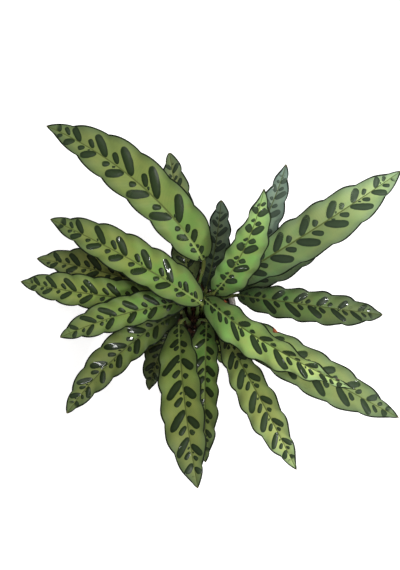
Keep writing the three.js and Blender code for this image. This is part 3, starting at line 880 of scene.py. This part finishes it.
leaf_upper, tree, surface = finish_material("leaf_upper_face")
pattern = leaf_pattern(tree)
from_base, from_rib, from_edge = leaf_record(tree, "place")
tone, fresh, bloom = leaf_record(tree, "painted_light_and_freshness")
from_tip, _, scorch = leaf_record(tree, "reach")
lamina = blend(tree, fresh, LAMINA_OLIVE, LAMINA_FRESH)
near_base = ramp(tree, from_base, 0.03, 0.12, 1.0, 0.0)
base_green = sum_of(tree, "MULTIPLY", near_base, ramp(tree, fresh, 0, 0.3, 0.3, 0.95))
lamina = blend(tree, base_green, lamina, LAMINA_BASE)
lamina = blend(tree, ramp(tree, cloud(tree, 0.014, 2), 0.35, 0.7, 0, 0.5), lamina, LAMINA_CLOUD)
margin_noise = cloud(tree, 0.014, 4, roughness=0.65)
margin_reach = sum_of(tree, "MULTIPLY_ADD", margin_noise, MARGIN_SPREAD, MARGIN_LEAST)
lamina = blend(tree, ramp(tree, from_edge, 0.0, margin_reach, 0.8, 0.0), lamina, MARGIN_GREEN)
lamina = blend(tree, ramp(tree, pattern["Veins"], 0.0, 1.0, 0.0, 0.22), lamina, VEIN_GREEN)
# Painted sheen: the lamina is blended towards grey as if it reflected light.
lamina = blend(tree, sum_of(tree, "MULTIPLY", bloom, 0.6), lamina, PAINTED_SHEEN_GREY)
# Painted light and shade: the lamina is made darker or lighter along each blade.
lamina = lightened(tree, tone, lamina)
spot_tone = blend(tree, cloud(tree, 0.004, 2), SPOT_BLACK, SPOT_GREEN)
spot_tone = blend(tree, ramp(tree, pattern["Veins"], 0.4, 1.0, 0.0, 0.25), spot_tone, SPOT_VEIN)
spot_tone = blend(tree, ramp(tree, pattern["Spot Height"], 0.2, 0.9, 0.0, 0.35), spot_tone, SPOT_CENTRE)
# The markings take a weaker share of the painted sheen.
spot_tone = blend(tree, sum_of(tree, "MULTIPLY", bloom, 0.4), spot_tone, SPOT_PAINTED_SHEEN)
# The markings take the same painted light and shade, within limits.
spot_painted_light = sum_of(tree, "MULTIPLY", sum_of(tree, "MINIMUM", tone, 1.5), 0.85)
spot_tone = lightened(tree, sum_of(tree, "MAXIMUM", spot_painted_light, 0.5), spot_tone)
face_tone = blend(tree, pattern["Spots"], lamina, spot_tone)
rib_half = sum_of(tree, "MULTIPLY_ADD", from_tip, RIB_WIDENING, RIB_HALF_WIDTH)
rib_line = ramp(tree, sum_of(tree, "SUBTRACT", from_rib, rib_half), -0.0002, 0.0003, 0.9, 0.0)
rib_tone = blend(tree, ramp(tree, from_base, 0.01, 0.06), RIB_BASE, RIB_GREEN)
# The midrib line takes the painted light and shade too.
rib_tone = lightened(tree, sum_of(tree, "MINIMUM", tone, 1.2), rib_tone)
face_tone = blend(tree, rib_line, face_tone, rib_tone)
face_tone = blend(tree, ramp(tree, from_edge, 0.0010, 0.0019, 0.96, 0.0), face_tone, RIM_BLACK)
scorch_start = sum_of(tree, "SUBTRACT", scorch, 0.3)
scorch_noise = sum_of(tree, "MULTIPLY_ADD", cloud(tree, 0.003, 2), 0.6, scorch_start)
scorch_tone = blend(tree, ramp(tree, scorch_noise, 0.4, 0.8), SCORCH_BROWN, SCORCH_ORANGE)
face_tone = blend(tree, ramp(tree, scorch_noise, 0.3, 0.42), face_tone, scorch_tone)
tip_noise = sum_of(tree, "MULTIPLY_ADD", cloud(tree, 0.003, 2), 0.004, from_tip)
face_tone = blend(tree, ramp(tree, tip_noise, 0.003, 0.0045, 0.6, 0), face_tone, TIP_BROWN)
tree.links.new(face_tone, surface.inputs["Base Color"])
leaf_roughness = ramp(tree, pattern["Spots"], 0, 1, LEAF_ROUGHNESS, SPOT_ROUGHNESS)
tree.links.new(leaf_roughness, surface.inputs["Roughness"])
shine = add(tree, "Attribute", attribute_name="shine").outputs["Fac"]
spot_shine = sum_of(tree, "MULTIPLY", ramp(tree, pattern["Spots"], 0, 1, 0.0, SPOT_SHINE), shine)
tree.links.new(spot_shine, surface.inputs["Coat Weight"])
surface.inputs["Specular IOR Level"].default_value = 0.15
surface.inputs["Coat Roughness"].default_value = 0.05
vein_share = ramp(tree, pattern["Spots"], 0, 1, VEIN_RELIEF, 0.0)
vein_height = sum_of(tree, "MULTIPLY", pattern["Veins"], vein_share)
relief = sum_of(tree, "MULTIPLY_ADD", pattern["Spot Height"], SPOT_RELIEF, vein_height)
relief = sum_of(tree, "MULTIPLY_ADD", cloud(tree, 0.012, 1), SWELL_RELIEF, relief)
bump(tree, surface, relief, LEAF_RELIEF_DEPTH)

# Underside: deep maroon with paler veins, the markings faint, and a green-grey keel down the midrib
UNDER_MAROON = paint("6b2f44")
UNDER_PALER = paint("7d3f4e")
UNDER_SPOT = paint("47202f")
UNDER_VEIN = paint("93606a")
KEEL_GREEN = paint("87845a")

leaf_under, tree, surface = finish_material("leaf_underside")
pattern = leaf_pattern(tree)
under_tone = blend(tree, cloud(tree, 0.02, 3), UNDER_MAROON, UNDER_PALER)
under_tone = blend(tree, ramp(tree, pattern["Spots"], 0, 1, 0, 0.55), under_tone, UNDER_SPOT)
under_tone = blend(tree, ramp(tree, pattern["Veins"], 0.5, 1.0, 0, 0.25), under_tone, UNDER_VEIN)
keel_line = ramp(tree, leaf_record(tree, "place")[1], 0.0009, 0.0018, 0.85, 0)
under_tone = blend(tree, keel_line, under_tone, KEEL_GREEN)
tree.links.new(under_tone, surface.inputs["Base Color"])
surface.inputs["Roughness"].default_value = 0.45
bump(tree, surface, pattern["Veins"], 0.00012)

# Stalk: smooth green with long fine streaks, darker along its sheath, olive at the joint, red at its foot,
# and darkened by the painted shade of its blade's base
STALK_GREEN = paint("57732f")
STALK_STREAK = paint("7c9647")
SHEATH_OLIVE = paint("47522a")
FOOT_RED = paint("5a3f2f")
JOINT_OLIVE = paint("7d8443")

stalk_skin, tree, surface = finish_material("leaf_stalk")
stalk_up, stalk_round, stalk_seed = leaf_record(tree, "place")
streak_values = {0: sum_of(tree, "MULTIPLY", stalk_round, 2.2), 1: stalk_up, 2: stalk_seed}
streaks = cloud(tree, 0.5, 2, add(tree, "CombineXYZ", streak_values).outputs[0])
stalk_tone = blend(tree, streaks, STALK_GREEN, STALK_STREAK)
sheath_line = ramp(tree, stalk_up, SHEATH_END, SHEATH_END + 0.06, 0.8, 0)
stalk_tone = blend(tree, sheath_line, stalk_tone, SHEATH_OLIVE)
stalk_tone = blend(tree, ramp(tree, stalk_up, 0.02, 0.2, 0.7, 0), stalk_tone, FOOT_RED)
stalk_tone = blend(tree, ramp(tree, stalk_up, JOINT_START, 0.87, 0, 0.8), stalk_tone, JOINT_OLIVE)
# Painted shade: the stalk is made darker where its blade's base is painted dark.
base_tone = leaf_record(tree, "painted_light_and_freshness")[0]
stalk_painted_shade = sum_of(tree, "MULTIPLY_ADD", sum_of(tree, "MINIMUM", base_tone, 1.1), 0.55, 0.45)
stalk_tone = lightened(tree, stalk_painted_shade, stalk_tone)
tree.links.new(stalk_tone, surface.inputs["Base Color"])
surface.inputs["Roughness"].default_value = 0.42
bump(tree, surface, streaks, 0.0002)

for number, row in enumerate(LEAF_ROWS, 1):
    leaf = leaf_from(row)
    shape = bmesh.new()
    build_blade(shape, leaf, number)
    build_stalk(shape, leaf, number)
    piece = make_piece(f"leaf_{number:02d}_grown", shape, [leaf_upper, leaf_under, stalk_skin])
    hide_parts(f"leaf_{number:02d}")

# Bark and perlite
# Loose bits of the potting mix that lie pressed into its surface round the stalks: flat chips of composted
# bark and round grains of white perlite.
CHIP_FIELD = 0.045
CHIP_LIFT = 0.0004
CHIP_TILT = 0.25
STALK_CLEARANCE = 0.0045
BARK_CHIPS = 190
BARK_SIZES = [(0.004, 0.009), (0.0025, 0.005), (0.0012, 0.0022)]
PERLITE_GRAINS = 48
PERLITE_SIZES = [(0.0014, 0.0028)] * 3
GRAIN_LUMP_SIZE = 0.0022
GRAIN_LUMP_SHARE = 0.5
GRAIN_LUMP_STEP = 0.013
BARK_DARK = paint("2c1c12")
BARK_BROWN = paint("6b4930")
PERLITE_GREY = paint("b9b3a6")
PERLITE_WHITE = paint("e4dfd3")

chip_bark, tree, surface = finish_material("bark_chip")
bark_tone = blend(tree, cloud(tree, 0.003, 4), BARK_DARK, BARK_BROWN)
tree.links.new(bark_tone, surface.inputs["Base Color"])
surface.inputs["Roughness"].default_value = 0.85
bump(tree, surface, cloud(tree, 0.0012, 4), 0.0006)

perlite_white, tree, surface = finish_material("perlite_grain")
perlite_tone = blend(tree, cloud(tree, 0.001, 3), PERLITE_GREY, PERLITE_WHITE)
tree.links.new(perlite_tone, surface.inputs["Base Color"])
surface.inputs["Roughness"].default_value = 0.9
bump(tree, surface, cloud(tree, 0.0006, 3), 0.0003)


def scatter(count, sizes, draw):
    """Loose rough lumps on the soil, clear of the stalks. sizes gives each axis's least and most."""
    shape = bmesh.new()
    feet = [leaf_from(row) for row in LEAF_ROWS]
    placed = 0
    while placed < count:
        angle = draw.uniform(0, math.tau)
        radius = CHIP_FIELD * math.sqrt(draw.random())
        x, y = radius * math.cos(angle), radius * math.sin(angle)
        if min(math.hypot(x - leaf.foot_x, y - leaf.foot_y) for leaf in feet) < STALK_CLEARANCE:
            continue
        scale = Matrix.Diagonal([*[draw.uniform(*pair) / 2 for pair in sizes], 1])
        turn = Matrix.Rotation(draw.uniform(0, math.tau), 4, "Z")
        tilt = Matrix.Rotation(draw.gauss(0, CHIP_TILT), 4, "X")
        centre = Vector((x, y, soil_height(x, y)))
        place = Matrix.Translation(centre + Vector((0, 0, CHIP_LIFT)))
        matrix = place @ turn @ tilt @ scale
        lump = bmesh.ops.create_icosphere(shape, subdivisions=2, radius=1, matrix=matrix)
        for vert in lump["verts"]:
            noise_at = (vert.co + Vector((0, 0, placed * GRAIN_LUMP_STEP))) / GRAIN_LUMP_SIZE
            swell = 1 + GRAIN_LUMP_SHARE * noise.noise(noise_at)
            vert.co = centre + (vert.co - centre) * swell
        placed += 1
    return shape


draw = random.Random(4)
bark = make_piece("bark_chips", scatter(BARK_CHIPS, BARK_SIZES, draw), [chip_bark])
perlite = make_piece("perlite_grains", scatter(PERLITE_GRAINS, PERLITE_SIZES, draw), [perlite_white])

# Studio
# A plain pale floor, soft light from all round, and large soft lamps overhead and behind. The narrow lamps
# give the glints on the leaves' markings. The camera looks steeply down on the plant, as in the photograph.
FLOOR_HALF = 30
FLOOR_LEVEL = -0.0002
LAMP_TARGET = Vector((0, 0, 0.2))
CAMERA_TARGET = Vector((0.0125, 0.0093, 0.230))
CAMERA_ELEVATION = math.radians(80)
CAMERA_DISTANCE = 0.750
CAMERA_LENS = 44.27

pale, tree, surface = finish_material("pale_floor")
surface.inputs["Base Color"].default_value = paint("f6f6f4")
surface.inputs["Roughness"].default_value = 0.9
surface.inputs["Emission Color"].default_value = (1, 1, 1, 1)
seen = add(tree, "LightPath").outputs["Is Camera Ray"]
tree.links.new(ramp(tree, seen, 0, 1, 0.1, 0.6), surface.inputs["Emission Strength"])
floor_shape = bmesh.new()
floor_place = Matrix.Translation((0, 0, FLOOR_LEVEL))
bmesh.ops.create_grid(floor_shape, x_segments=1, y_segments=1, size=FLOOR_HALF, matrix=floor_place)
floor_mesh = bpy.data.meshes.new("studio_floor")
floor_shape.to_mesh(floor_mesh)
floor_shape.free()
floor_mesh.materials.append(pale)
floor = bpy.data.objects.new("studio_floor", floor_mesh)
bpy.context.scene.collection.objects.link(floor)
floor.visible_glossy = False

world = bpy.data.worlds.new("studio_air")
world.use_nodes = True
air = world.node_tree
air.nodes["Background"].inputs["Color"].default_value = (1, 1, 1, 1)
rays = add(air, "LightPath").outputs
room_light = ramp(air, rays["Is Glossy Ray"], 0, 1, 0.17, 0.08)
seen_light = sum_of(air, "MAXIMUM", room_light, sum_of(air, "MULTIPLY", rays["Is Camera Ray"], 0.76))
air.links.new(seen_light, air.nodes["Background"].inputs["Strength"])
bpy.context.scene.world = world


def lamp(name, place, width, height, power, glossy=True):
    """A soft lamp that faces the plant. One that isn't glossy gives light but no reflection."""
    light = bpy.data.lights.new(name, "AREA")
    light.shape = "RECTANGLE"
    light.size = width
    light.size_y = height
    light.energy = power
    unit = bpy.data.objects.new(name, light)
    unit.location = place
    unit.rotation_euler = (LAMP_TARGET - Vector(place)).to_track_quat("-Z", "Y").to_euler()
    unit.visible_glossy = glossy
    bpy.context.scene.collection.objects.link(unit)


lamp("overhead_lamp", (0.1, 0.2, 1.6), 0.8, 0.8, 6, glossy=False)
lamp("key_lamp", (0.77, -0.34, 1.44), 0.24, 0.07, 9)
lamp("window_lamp", (0.63, -0.9, 1.25), 0.26, 0.05, 2.5)
lamp("ceiling_lamp", (0.33, 0.24, 1.64), 0.05, 0.2, 2.5)
lamp("small_lamp", (0.09, -0.16, 1.69), 0.03, 0.12, 0.8)
lamp("front_lamp", (0.55, -1.19, 0.93), 0.2, 0.05, 1.2)
lamp("low_lamp", (-0.63, -1.35, 0.45), 0.2, 0.05, 1)
lamp("back_lamp", (-1.1, 1.1, 0.65), 0.8, 0.8, 4, glossy=False)

camera_data = bpy.data.cameras.new("camera")
camera_data.lens = CAMERA_LENS
camera_data.sensor_width = 36
camera = bpy.data.objects.new("camera", camera_data)
back = Vector((0, -math.cos(CAMERA_ELEVATION), math.sin(CAMERA_ELEVATION)))
camera.location = CAMERA_TARGET + back * CAMERA_DISTANCE
camera.rotation_euler = (math.pi / 2 - CAMERA_ELEVATION, 0, 0)
bpy.context.scene.collection.objects.link(camera)
bpy.context.scene.camera = camera
bpy.context.scene.view_settings.view_transform = "Standard"
